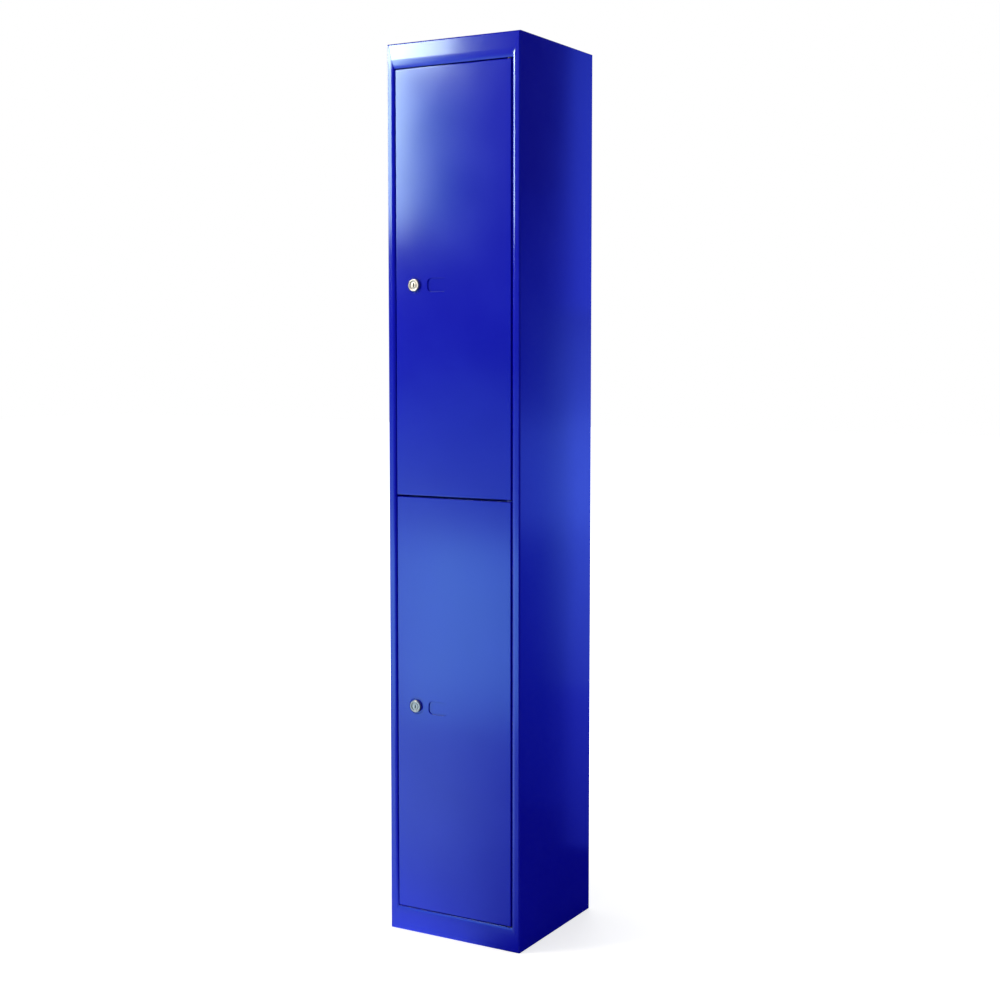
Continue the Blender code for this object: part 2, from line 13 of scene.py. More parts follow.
import bmesh
import bpy
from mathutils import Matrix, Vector

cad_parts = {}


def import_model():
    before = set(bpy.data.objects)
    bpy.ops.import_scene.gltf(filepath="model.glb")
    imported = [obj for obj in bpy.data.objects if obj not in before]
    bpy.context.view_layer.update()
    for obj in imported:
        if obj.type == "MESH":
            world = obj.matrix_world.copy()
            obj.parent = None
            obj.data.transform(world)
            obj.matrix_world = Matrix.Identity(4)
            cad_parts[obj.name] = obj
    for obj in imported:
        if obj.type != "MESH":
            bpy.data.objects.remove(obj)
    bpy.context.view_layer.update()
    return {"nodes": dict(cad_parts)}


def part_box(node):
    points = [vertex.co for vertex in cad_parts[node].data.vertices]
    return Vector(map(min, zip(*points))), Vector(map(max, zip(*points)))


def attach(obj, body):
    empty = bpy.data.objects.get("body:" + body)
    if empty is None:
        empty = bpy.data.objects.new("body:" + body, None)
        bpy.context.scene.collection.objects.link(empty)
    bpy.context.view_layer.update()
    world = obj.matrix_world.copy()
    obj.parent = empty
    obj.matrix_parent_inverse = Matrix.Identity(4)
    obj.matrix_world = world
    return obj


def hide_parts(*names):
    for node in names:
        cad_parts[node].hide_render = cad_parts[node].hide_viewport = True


log = logging.getLogger("locker")

Point = tuple[float, float, float]
Colour = tuple[float, float, float]
Profile = list[tuple[float, float]]
Place = Callable[[Vector], bool]
Socket = bpy.types.NodeSocket

QUARTER_TURN = math.pi / 2
FULL_TURN = 2 * math.pi
FACING_FRONT = (QUARTER_TURN, 0.0, 0.0)
FRONT_TO_BACK = (0, 1, 0)
LEFT_TO_RIGHT = (1, 0, 0)
NEAR = 0.00002
MERGE = NEAR / 4
FOLDED_ANGLE = 32
TURNED_ANGLE = 40
DOME_ANGLE = 50
BLOTCH_SPAN = (0.3, 0.7)
WHITE = (1.0, 1.0, 1.0)


def quarter_angles(steps: int) -> list[float]:
    """The angles of a quarter turn in equal steps, from 0 to the full quarter."""
    return [QUARTER_TURN * step / steps for step in range(steps + 1)]


def rounded_edge(half_x: float, half_z: float, front: float, radius: float, steps: int) -> list[Point]:
    """The rings of a folded sheet's rounded front edge.

    Args:
        half_x: Half the width behind the edge.
        half_z: Half the height behind the edge.
        front: The y of the face.
        radius: The edge's radius.
        steps: Facets round the edge.

    Returns:
        Half width, half height and y of each ring, from the side to the face.
    """
    rings = []
    for angle in quarter_angles(steps):
        inset = radius * (1 - math.cos(angle))
        rings.append((half_x - inset, half_z - inset, front + radius * (1 - math.sin(angle))))
    return rings


class Element(Enum):
    """What a selection holds."""

    VERTICES = "VERT"
    EDGES = "EDGE"
    FACES = "FACE"


class Tier(Enum):
    """The two compartments of the locker."""

    UPPER = "upper"
    LOWER = "lower"


class Body(Enum):
    """The moving groups that pieces ride on."""

    CABINET = "cabinet"
    DOOR = "door_leaf"
    LOCK = "lock_core"

    def of(self, tier: Tier) -> str:
        """The body's name in a tier."""
        return self.value if self is Body.CABINET else f"{tier.value}_{self.value}"


class Workpiece:
    """A mesh at the bench: it starts as a primitive and is shaped with edit-mode operators."""

    def __init__(self, name: str) -> None:
        """Clears the selection for a new piece.

        Args:
            name: The finished piece's name.
        """
        self.name = name
        self.object: bpy.types.Object | None = None
        if bpy.context.mode != "OBJECT":
            bpy.ops.object.mode_set(mode="OBJECT")
        bpy.ops.object.select_all(action="DESELECT")

    def _adopt(self) -> None:
        """Takes the new primitive as this piece, or as more of it when it is already at the bench."""
        if self.object is None:
            self.object = bpy.context.object
            self.object.name = self.name
            self.object.data.name = self.name
            bpy.ops.object.transform_apply(location=True, rotation=True, scale=True)
            bpy.ops.object.mode_set(mode="EDIT")
            bpy.ops.mesh.select_all(action="SELECT")

    def plane(self, centre: Point, width: float, height: float) -> None:
        """Adds a plane that faces the front.

        Args:
            centre: Its middle.
            width: Its size along X.
            height: Its size along Z.
        """
        bpy.ops.mesh.primitive_plane_add(size=1, location=centre, rotation=FACING_FRONT)
        self._adopt()
        self.resize((width, 1, height), centre)

    def disc(self, centre: Point, radius: float, sides: int, turn: Point = FACING_FRONT) -> None:
        """Adds a filled circle, facing the front unless it is turned.

        Args:
            centre: Its middle.
            radius: Its radius.
            sides: How many edges it has.
            turn: Its rotation.
        """
        bpy.ops.mesh.primitive_circle_add(
            vertices=sides, radius=radius, fill_type="NGON", location=centre, rotation=turn
        )
        self._adopt()

    def block(self, low: Point, high: Point) -> None:
        """Adds a box.

        Args:
            low: Its lowest corner.
            high: Its highest corner.
        """
        centre = tuple((a + b) / 2 for a, b in zip(low, high))
        bpy.ops.mesh.primitive_cube_add(size=1, location=centre)
        self._adopt()
        self.resize(tuple(b - a for a, b in zip(low, high)), centre)

    def point(self, at: Point) -> None:
        """Adds one vertex, from which a profile is drawn.

        Args:
            at: Its place.
        """
        bpy.ops.mesh.primitive_plane_add(size=NEAR, location=at)
        self._adopt()
        bpy.ops.mesh.select_mode(type=Element.VERTICES.value)
        bpy.ops.mesh.merge(type="CENTER")

    def resize(self, factors: Point, centre: Point) -> None:
        """Scales the selection about a point."""
        bpy.ops.transform.resize(value=factors, center_override=centre)

    def move(self, offset: Point) -> None:
        """Moves the selection."""
        bpy.ops.transform.translate(value=offset)

    def extrude(self, offset: Point) -> None:
        """Extrudes the selection by an offset."""
        bpy.ops.mesh.extrude_region_move(TRANSFORM_OT_translate={"value": offset})

    def select(self, kind: Element, place: Place) -> int:
        """Selects the elements whose vertices all lie at a place.

        Args:
            kind: Vertices, edges or faces.
            place: A test on a vertex's coordinates.

        Returns:
            How many elements were selected.
        """
        bpy.ops.mesh.select_mode(type=kind.value)
        bpy.ops.mesh.select_all(action="DESELECT")
        shape = bmesh.from_edit_mesh(self.object.data)
        found = 0
        for element in {"VERT": shape.verts, "EDGE": shape.edges, "FACE": shape.faces}[kind.value]:
            corners = [element] if kind is Element.VERTICES else element.verts
            if all(place(corner.co) for corner in corners):
                element.select_set(True)
                found += 1
        shape.select_flush_mode()
        bmesh.update_edit_mesh(self.object.data)
        return found

    def delete(self, kind: Element, place: Place) -> None:
        """Deletes the elements at a place."""
        if self.select(kind, place):
            bpy.ops.mesh.delete(type=kind.value)

    def delete_selected(self) -> None:
        """Deletes the selected faces."""
        bpy.ops.mesh.delete(type=Element.FACES.value)

    def round_corners(self, radius: float, steps: int) -> None:
        """Rounds the corners of the selected outline."""
        bpy.ops.mesh.bevel(offset=radius, segments=steps, affect="VERTICES", offset_type="OFFSET")

    def fold(self, start: Point, rings: Iterable[Point], middle_z: float) -> None:
        """Draws the selected face through rectangular rings, as a press brake folds a tray.

        Args:
            start: Half width, half height and y of the face.
            rings: Half width, half height and y of each further ring.
            middle_z: The height of the rings' centre.
        """
        half_x, half_z, y = start
        for next_x, next_z, next_y in rings:
            self.extrude((0, next_y - y, 0))
            self.resize((next_x / half_x, 1, next_z / half_z), (0, next_y, middle_z))
            half_x, half_z, y = next_x, next_z, next_y

    def press(self, run: float, depth: float, steps: int) -> None:
        """Presses the selected face back, with a soft shoulder at the rim and at the floor.

        Args:
            run: How far the wall leans in.
            depth: How deep the floor lies.
            steps: Facets down the wall.
        """
        gone = 0.0
        for step in range(1, steps + 1):
            drop = depth * (1 - math.cos(math.pi * step / steps)) / 2
            bpy.ops.mesh.inset(thickness=run / steps, depth=gone - drop)
            gone = drop

    def spin(self, profile: Profile, axis_at: Point, axis: Point, steps: int) -> None:
        """Turns a profile of (radius, distance along the axis) into a round piece.

        Args:
            profile: The points in order; a closed one repeats its first point.
            axis_at: The axis's point at distance 0.
            axis: The axis's direction, along Y or Z.
            steps: Facets round the axis.
        """
        start, way = Vector(axis_at), Vector(axis)
        places = [start + way * along + Vector((radius, 0, 0)) for radius, along in profile]
        self.point(places[0])
        for before, after in zip(places, places[1:]):
            self.extrude(after - before)
        bpy.ops.mesh.select_all(action="SELECT")
        bpy.ops.mesh.spin(steps=steps, angle=FULL_TURN, center=axis_at, axis=axis)
        self.tidy()

    def tidy(self) -> None:
        """Closes seams and poles and turns every face outwards."""
        bpy.ops.mesh.select_all(action="SELECT")
        bpy.ops.mesh.remove_doubles(threshold=MERGE)
        bpy.ops.mesh.normals_make_consistent(inside=False)

    def done(self) -> None:
        """Leaves edit mode."""
        if bpy.context.mode != "OBJECT":
            bpy.ops.object.mode_set(mode="OBJECT")
        bpy.ops.object.select_all(action="DESELECT")
        self.object.select_set(True)
        bpy.context.view_layer.objects.active = self.object

    def modify(self, kind: str, **settings: object) -> None:
        """Adds a modifier and applies it.

        Args:
            kind: The modifier's type.
            settings: Its properties.
        """
        self.done()
        modifier = self.object.modifiers.new(kind.lower(), kind)
        for key, value in settings.items():
            setattr(modifier, key, value)
        bpy.ops.object.modifier_apply(modifier=modifier.name)

    def thicken(self, sheet: float) -> None:
        """Gives an open sheet its thickness, behind its outer face."""
        self.modify("SOLIDIFY", thickness=sheet, offset=-1, use_even_offset=True)

    def cut(self, tool: "Workpiece") -> None:
        """Cuts another workpiece out of this one and throws it away.

        Args:
            tool: The workpiece that cuts.
        """
        tool.done()
        self.modify("BOOLEAN", operation="DIFFERENCE", object=tool.object, solver="EXACT")
        bpy.data.objects.remove(tool.object)

    def shade(self, angle: float = FOLDED_ANGLE) -> None:
        """Shades round faces smooth and keeps flat ones flat.

        Args:
            angle: The angle between faces, in degrees, above which an edge stays sharp.
        """
        self.done()
        bpy.ops.object.shade_smooth_by_angle(angle=math.radians(angle))
        self.modify("WEIGHTED_NORMAL", keep_sharp=True, weight=80)

    def fit(self, material: bpy.types.Material, slot: str, body: str, *nodes: str) -> None:
        """Dresses the finished piece and puts it in place of its solids.

        Args:
            material: Its finish.
            slot: The finish's name; not used.
            body: The body it rides on.
            nodes: The solids that it stands for.
        """
        self.done()
        self.object.data.materials.clear()
        self.object.data.materials.append(material)
        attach(self.object, body)
        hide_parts(*nodes)
        log.info("%s rides on %s and stands for %s", self.name, body, ", ".join(nodes))


class Grain:
    """The shared texture: a close grain, soft blotches and slow waves, on Object coordinates."""

    NAME = "surface_grain"
    DETAIL = {"Grain": 2.0, "Blotch": 3.0, "Wave": 0.0}

    @classmethod
    def group(cls) -> bpy.types.NodeTree:
        """Builds the node group once.

        Returns:
            A group with inputs Grain Scale, Blotch Scale and Wave Scale and outputs of the same names.
        """
        if cls.NAME in bpy.data.node_groups:
            return bpy.data.node_groups[cls.NAME]
        tree = bpy.data.node_groups.new(cls.NAME, "ShaderNodeTree")
        for name in cls.DETAIL:
            tree.interface.new_socket(name + " Scale", in_out="INPUT", socket_type="NodeSocketFloat")
            tree.interface.new_socket(name, in_out="OUTPUT", socket_type="NodeSocketFloat")
        nodes, links = tree.nodes, tree.links
        given, result = nodes.new("NodeGroupInput"), nodes.new("NodeGroupOutput")
        where = nodes.new("ShaderNodeTexCoord")
        for name, detail in cls.DETAIL.items():
            noise = nodes.new("ShaderNodeTexNoise")
            noise.inputs["Detail"].default_value = detail
            links.new(where.outputs["Object"], noise.inputs["Vector"])
            links.new(given.outputs[name + " Scale"], noise.inputs["Scale"])
            links.new(noise.outputs["Fac"], result.inputs[name])
        return tree


@dataclass(frozen=True)
class Finish:
    """A surface: its colours, gloss and fine texture."""

    slot: str
    dark: Colour
    light: Colour
    rough: tuple[float, float]
    grain_scale: float
    blotch_scale: float
    grain_depth: float
    metallic: float = 0.0
    specular: float = 0.5
    tint: Colour = WHITE
    wave_scale: float = 4.0
    wave_depth: float = 0.0

    def material(self) -> bpy.types.Material:
        """Builds the procedural material, or finds the one already built.

        Returns:
            The finish's material.
        """
        known = bpy.data.materials.get(self.slot)
        if known and known.get("dressed"):
            return known
        material = bpy.data.materials.new(self.slot)
        material["dressed"] = True
        material.use_nodes = True
        nodes, links = material.node_tree.nodes, material.node_tree.links
        shader = nodes["Principled BSDF"]
        shader.inputs["Metallic"].default_value = self.metallic
        shader.inputs["Specular IOR Level"].default_value = self.specular
        shader.inputs["Specular Tint"].default_value = (*self.tint, 1)
        grain = nodes.new("ShaderNodeGroup")
        grain.node_tree = Grain.group()
        grain.inputs["Grain Scale"].default_value = self.grain_scale
        grain.inputs["Blotch Scale"].default_value = self.blotch_scale
        grain.inputs["Wave Scale"].default_value = self.wave_scale
        tone = nodes.new("ShaderNodeMix")
        tone.data_type = "RGBA"
        tone.inputs["A"].default_value = (*self.dark, 1)
        tone.inputs["B"].default_value = (*self.light, 1)
        gloss = nodes.new("ShaderNodeMapRange")
        gloss.inputs["From Min"].default_value, gloss.inputs["From Max"].default_value = BLOTCH_SPAN
        gloss.inputs["To Min"].default_value, gloss.inputs["To Max"].default_value = self.rough
        sway = nodes.new("ShaderNodeBump")
        sway.inputs["Distance"].default_value = self.wave_depth
        bump = nodes.new("ShaderNodeBump")
        bump.inputs["Distance"].default_value = self.grain_depth
        links.new(grain.outputs["Blotch"], tone.inputs["Factor"])
        links.new(tone.outputs["Result"], shader.inputs["Base Color"])
        links.new(grain.outputs["Blotch"], gloss.inputs["Value"])
        links.new(gloss.outputs["Result"], shader.inputs["Roughness"])
        links.new(grain.outputs["Wave"], sway.inputs["Height"])
        links.new(sway.outputs["Normal"], bump.inputs["Normal"])
        links.new(grain.outputs["Grain"], bump.inputs["Height"])
        links.new(bump.outputs["Normal"], shader.inputs["Normal"])
        return material


POWDER_COAT = Finish(
    slot="paint",
    dark=(0.0009, 0.0006, 0.35),
    light=(0.0012, 0.0008, 0.41),
    rough=(0.168, 0.192),
    grain_scale=700,
    blotch_scale=9,
    grain_depth=0.00001,
    specular=1.0,
    tint=(0.54, 0.86, 1.0),
    wave_depth=0.002,
)
NICKEL = Finish(
    slot="nickel",
    dark=(0.58, 0.58, 0.56),
    light=(0.70, 0.70, 0.67),
    rough=(0.40, 0.47),
    grain_scale=2600,
    blotch_scale=160,
    grain_depth=0.00002,
    metallic=1.0,
)
ZINC = Finish(
    slot="zinc",
    dark=(0.42, 0.43, 0.45),
    light=(0.62, 0.62, 0.60),
    rough=(0.30, 0.46),
    grain_scale=1800,
    blotch_scale=120,
    grain_depth=0.00003,
    metallic=1.0,
)
NYLON = Finish(
    slot="nylon",
    dark=(0.026, 0.026, 0.027),
    light=(0.040, 0.040, 0.042),
    rough=(0.42, 0.54),
    grain_scale=2200,
    blotch_scale=200,
    grain_depth=0.00003,
)
RUBBER = Finish(
    slot="rubber",
    dark=(0.016, 0.016, 0.017),
    light=(0.034, 0.034, 0.036),
    rough=(0.62, 0.80),
    grain_scale=2500,
    blotch_scale=300,
    grain_depth=0.00005,
    specular=0.35,
)


@dataclass
class CabinetShell:
    """The painted outside: sides, top and rolled front frame, which are one welded and coated shell."""

    width: float = 0.305
    height: float = 1.802
    front_y: float = -0.15025
    back_y: float = 0.15475
    sheet: float = 0.001
    corner: float = 0.0012
    corner_steps: int = 3
    edge_radius: float = 0.003
    flange: float = 0.0105
    stile: float = 0.0175
    rail: float = 0.049
    stile_roll: float = 0.0075
    rail_roll: float = 0.0185
    roll_depth: float = 0.0035
    stop_depth: float = 0.022
    stop_lip: float = 0.012
    back_fold: float = 0.015
    edge_steps: int = 10
    roll_steps: int = 20
    rail_lean: float = 0.001

    def rings(self) -> list[Point]:
        """The folds from the seam behind the front edge to the stop lip.

        Returns:
            Half width, half height and y of each ring.
        """
        half_x, half_z, front = self.width / 2, self.height / 2, self.front_y
        rings = [(half_x, half_z, front + self.flange)]
        rings += rounded_edge(half_x, half_z, front, self.edge_radius, self.edge_steps)
        for angle in quarter_angles(self.roll_steps):
            rest = 1 - math.sin(angle)
            across, down = self.stile - self.stile_roll * rest, self.rail - self.rail_roll * rest
            rings.append((half_x - across, half_z - down, front + self.roll_depth * (1 - math.cos(angle))))
        half_x, half_z = half_x - self.stile, half_z - self.rail
        rings.append((half_x, half_z, front + self.stop_depth))
        rings.append((half_x - self.stop_lip, half_z - self.stop_lip, front + self.stop_depth))
        return rings

    def build(self) -> None:
        """Folds the shell, opens its bottom and back, and turns the back folds in."""
        half_x, middle = self.width / 2, self.height / 2
        shell = Workpiece("cabinet_shell")
        shell.plane((0, self.back_y, middle), self.width, self.height)
        shell.round_corners(self.corner, self.corner_steps)
        bpy.ops.mesh.select_mode(type=Element.FACES.value)
        bpy.ops.mesh.select_all(action="SELECT")
        shell.fold((half_x, middle, self.back_y), self.rings(), middle)
        shell.delete_selected()
        shell.select(
            Element.VERTICES,
            lambda co: co.z > self.height - self.edge_radius - NEAR
            and co.y < self.front_y + self.edge_radius + NEAR,
        )
        shell.move((0, self.rail_lean, 0))
        shell.delete(Element.FACES, lambda co: co.y > self.back_y - NEAR)
        seam = self.front_y + self.flange
        shell.delete(Element.FACES, lambda co: co.z < NEAR and co.y > seam - NEAR)
        for side in (-1, 1):
            shell.select(
                Element.EDGES,
                lambda co, side=side: co.y > self.back_y - NEAR and co.x * side > half_x - NEAR,
            )
            shell.extrude((-side * self.back_fold, 0, 0))
        shell.tidy()
        shell.thicken(self.sheet)
        shell.shade()
        shell.fit(
            POWDER_COAT.material(),
            POWDER_COAT.slot,
            Body.CABINET.value,
            "front_frame",
            "left_side_panel",
            "right_side_panel",
            "top_panel",
        )


@dataclass
class DoorSkin:
    """A door's folded pan, with its pressed lock cup and label recess."""

    tier: Tier
    sheet: float = 0.001
    edge_radius: float = 0.0015
    edge_steps: int = 6
    fold_back: float = 0.012
    lock_x: float = -0.0885
    label_x: float = -0.036
    drop: float = 0.003
    cup_radius: float = 0.0165
    cup_depth: float = 0.0012
    cup_run: float = 0.0012
    hole_radius: float = 0.0095
    label_width: float = 0.046
    label_height: float = 0.0275
    label_radius: float = 0.0095
    label_corner_steps: int = 14
    label_depth: float = 0.0024
    label_run: float = 0.0008
    wall_steps: int = 8
    round_sides: int = 72

    def build(self) -> None:
        """Folds the pan, presses the recesses and fills the face between them."""
        node = f"{self.tier.value}_door"
        low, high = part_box(node)
        face = low.y
        middle = (low.z + high.z) / 2
        half_x, half_z = (high.x - low.x) / 2, (high.z - low.z) / 2
        skin = Workpiece(f"{self.tier.value}_door_skin")
        inner_x, inner_z = half_x - self.fold_back, half_z - self.fold_back
        skin.plane((0, high.y, middle), 2 * inner_x, 2 * inner_z)
        bpy.ops.mesh.select_mode(type=Element.FACES.value)
        rings = [(half_x, half_z, high.y)]
        rings += rounded_edge(half_x, half_z, face, self.edge_radius, self.edge_steps)
        skin.fold((inner_x, inner_z, high.y), rings, middle)
        skin.delete_selected()
        skin.delete(Element.FACES, lambda co: abs(co.x) < inner_x + NEAR and co.y > high.y - NEAR)
        height = middle - self.drop
        bpy.ops.mesh.select_all(action="DESELECT")
        skin.disc((self.lock_x, face, height), self.cup_radius, self.round_sides)
        skin.press(self.cup_run, self.cup_depth, self.wall_steps)
        bpy.ops.mesh.inset(thickness=self.cup_radius - self.cup_run - self.hole_radius, depth=0)
        skin.delete_selected()
        bpy.ops.mesh.select_all(action="DESELECT")
        skin.plane((self.label_x, face, height), self.label_width, self.label_height)
        skin.round_corners(self.label_radius, self.label_corner_steps)
        skin.select(
            Element.FACES,
            lambda co: abs(co.x - self.label_x) < self.label_width
            and abs(co.z - height) < self.label_height
            and co.x > self.lock_x + self.cup_radius + NEAR,
        )
        skin.press(self.label_run, self.label_depth, self.wall_steps)
        skin.select(Element.EDGES, lambda co: abs(co.y - face) < NEAR)
        bpy.ops.mesh.fill(use_beauty=True)
        skin.tidy()
        skin.thicken(self.sheet)
        skin.shade()
        skin.fit(POWDER_COAT.material(), POWDER_COAT.slot, Body.DOOR.of(self.tier), node)


@dataclass
class CamLock:
    """A door's cam lock: nickel bezel and plug in front, threaded body and cam screw behind.

    The three tables are turned profiles: a radius and the distance behind the piece's front end.
    """

    BEZEL_LIP = ((0.0084, 0.0016), (0.0087, 0.0014), (0.0089, 0.0003), (0.0092, 0.0001), (0.0097, 0.0))
    PLUG_FACE = ((0.0, 0.0), (0.0037125, 0.00005), (0.00615, 0.0002), (0.00655, 0.0004), (0.00675, 0.0008))
    SCREW_TIP = ((0.0, 0.0), (0.0017, 0.0), (0.002, 0.0004))

    tier: Tier
    bezel_radius: float = 0.0125
    crown: float = 0.0016
    crown_steps: int = 8
    seat_depth: float = 0.0009
    body_radius: float = 0.0092
    body_chamfer: float = 0.0005
    thread_start: float = 0.004
    thread_end: float = 0.001
    thread_pitch: float = 0.001
    thread_depth: float = 0.00045
    plug_radius: float = 0.00675
    clearance: float = 0.0003
    keyway_width: float = 0.0022
    keyway_height: float = 0.0085
    keyway_depth: float = 0.012
    keyway_corner: float = 0.00099
    keyway_corner_steps: int = 5
    ward_reach: float = 0.0019
    ward_below: float = 0.0012
    ward_above: float = 0.0004
    drive_half: float = 0.0037
    drive_overlap: float = 0.0005
    shank_radius: float = 0.002
    screw_head: float = 0.0055
    head_round: float = 0.0022
    head_rise: float = 0.0021
    head_steps: int = 6
    cross_width: float = 0.0012
    cross_length: float = 0.0064
    cross_depth: float = 0.0016
    tool_lead: float = 0.001
    steps: int = 64
    screw_sides: int = 48

    def node(self, name: str) -> str:
        """A solid's name in this tier."""
        return f"{self.tier.value}_{name}"

    def axis(self, node: str) -> tuple[Vector, Vector, Point]:
        """Where a round solid of the lock lies.

        Args:
            node: The solid's name.

        Returns:
            Its lowest and highest corners, and its axis at y = 0.
        """
        low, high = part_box(node)
        return low, high, ((low.x + high.x) / 2, 0.0, (low.z + high.z) / 2)

    def housing(self) -> None:
        """Spins the bezel and the threaded body."""
        node = self.node("lock_housing")
        low, high, centre = self.axis(node)
        front, seat = low.y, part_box(self.node("door"))[0].y + self.seat_depth
        bore = self.plug_radius + self.clearance
        lip = [(radius, front + behind) for radius, behind in self.BEZEL_LIP]
        profile = [(bore, lip[0][1]), *lip]
        for angle in quarter_angles(self.crown_steps):
            across = self.bezel_radius - self.crown * (1 - math.sin(angle))
            profile.append((across, front + self.crown * (1 - math.cos(angle))))
        profile += [(self.bezel_radius, seat), (self.body_radius, seat)]
        along = seat + self.thread_start
        while along + self.thread_pitch < high.y - self.thread_end:
            profile.append((self.body_radius, along))
            profile.append((self.body_radius - self.thread_depth, along + self.thread_pitch / 2))
            along += self.thread_pitch
        profile.append((self.body_radius, along))
        profile += [(self.body_radius - self.body_chamfer, high.y), (bore, high.y)]
        profile.append(profile[0])
        housing = Workpiece(node + "_turned")
        housing.spin(profile, centre, FRONT_TO_BACK, self.steps)
        housing.shade(TURNED_ANGLE)
        housing.fit(NICKEL.material(), NICKEL.slot, Body.DOOR.of(self.tier), node)

    def plug(self) -> None:
        """Spins the plug, cuts its keyway and ward, and adds the square that drives the cam."""
        node = self.node("lock_plug")
        low, high, centre = self.axis(node)
        face = low.y
        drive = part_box(self.node("lock_cam"))[0].y
        profile = [(radius, face + behind) for radius, behind in self.PLUG_FACE]
        profile += [(self.plug_radius, drive - self.clearance), (0, drive - self.clearance)]
        plug = Workpiece(node + "_turned")
        plug.spin(profile, centre, FRONT_TO_BACK, self.steps)
        x, _, z = centre
        slot = Workpiece("keyway_tool")
        lead = face - self.tool_lead
        slot.plane((x, lead, z), self.keyway_width, self.keyway_height)
        slot.round_corners(self.keyway_corner, self.keyway_corner_steps)
        bpy.ops.mesh.select_all(action="SELECT")
        slot.extrude((0, self.keyway_depth + self.tool_lead, 0))
        slot.tidy()
        plug.cut(slot)
        ward = Workpiece("ward_tool")
        ward_end = (x + self.ward_reach, face + self.keyway_depth, z + self.ward_above)
        ward.block((x, lead, z - self.ward_below), ward_end)
        plug.cut(ward)
        square = Workpiece(node + "_drive")
        half = self.drive_half
        square.block((x - half, drive - self.drive_overlap, z - half), (x + half, high.y, z + half))
        square.done()
        plug.done()
        square.object.select_set(True)
        bpy.ops.object.join()
        plug.shade(TURNED_ANGLE)
        plug.fit(NICKEL.material(), NICKEL.slot, Body.LOCK.of(self.tier), node)

    def screw(self) -> None:
        """Spins the screw that holds the cam and cuts its cross recess."""
        node = self.node("cam_screw")
        low, high, centre = self.axis(node)
        head = high.y
        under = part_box(self.node("lock_cam"))[1].y + self.clearance
        profile = [(radius, low.y + behind) for radius, behind in self.SCREW_TIP]
        profile += [(self.shank_radius, under), (self.screw_head, under)]
        for angle in quarter_angles(self.head_steps):
            across = self.screw_head - self.head_round * (1 - math.cos(angle))
            profile.append((across, head - self.head_rise * (1 - math.sin(angle))))
        profile.append((0, head))
        screw = Workpiece(node + "_turned")
        screw.spin(profile, centre, FRONT_TO_BACK, self.screw_sides)
        x, _, z = centre
        wide, long = self.cross_width / 2, self.cross_length / 2
        for size_x, size_z in ((wide, long), (long, wide)):
            cross = Workpiece("cross_tool")
            bottom = (x - size_x, head - self.cross_depth, z - size_z)
            cross.block(bottom, (x + size_x, head + self.tool_lead, z + size_z))
            screw.cut(cross)
        screw.shade(TURNED_ANGLE)
        screw.fit(ZINC.material(), ZINC.slot, Body.LOCK.of(self.tier), node)

    def build(self) -> None:
        """Makes the lock's turned pieces."""
        self.housing()
        self.plug()
        self.screw()


@dataclass
class CoatHook:
    """A double coat hook: two bent wires with round ends on a screwed plate."""

    tier: Tier
    wire_radius: float = 0.0025
    leg_x: float = 0.008
    drop: float = 0.024
    bend_radius: float = 0.011
    tip_rise: float = 0.008
    tip_steps: int = 5
    pole_steps: float = 5.2
    plate_thickness: float = 0.0025
    plate_edge: float = 0.0006
    overlap: float = 0.0005
    bend_steps: int = 20
    sides: int = 24

    def build(self) -> None:
        """Bends one wire, rounds its end a little short of a pole, mirrors it and adds the plate."""
        node = f"{self.tier.value}_coat_hook"
        low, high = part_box(node)
        y, top = (low.y + high.y) / 2, high.z
        hook = Workpiece(node + "_bent")
        start = top - self.plate_thickness + self.overlap
        hook.disc((self.leg_x, y, start), self.wire_radius, self.sides, (math.pi, 0, 0))
        bpy.ops.mesh.select_mode(type=Element.FACES.value)
        hook.extrude((0, 0, top - self.drop - start))
        centre = (self.leg_x + self.bend_radius, y, top - self.drop)
        bpy.ops.mesh.spin(steps=self.bend_steps, angle=-math.pi, center=centre, axis=FRONT_TO_BACK)
        hook.extrude((0, 0, self.tip_rise - self.wire_radius))
        tip_x = self.leg_x + 2 * self.bend_radius
        tip_z = top - self.drop + self.tip_rise - self.wire_radius
        rise, size = 0.0, 1.0
        for step in range(1, self.tip_steps + 1):
            angle = QUARTER_TURN * step / self.pole_steps
            next_rise, next_size = self.wire_radius * math.sin(angle), math.cos(angle)
            hook.extrude((0, 0, next_rise - rise))
            hook.resize((next_size / size, next_size / size, 1), (tip_x, y, tip_z + next_rise))
            rise, size = next_rise, next_size
        hook.tidy()
        hook.modify("MIRROR", use_axis=(True, False, False), use_clip=False)
        plate = Workpiece(node + "_plate")
        plate.block((low.x, low.y, top - self.plate_thickness), (high.x, high.y, top))
        plate.select(Element.EDGES, lambda co: True)
        bpy.ops.mesh.bevel(offset=self.plate_edge, segments=3)
        plate.done()
        hook.done()
        plate.object.select_set(True)
        bpy.ops.object.join()
        hook.shade(TURNED_ANGLE)
        hook.fit(ZINC.material(), ZINC.slot, Body.CABINET.value, node)


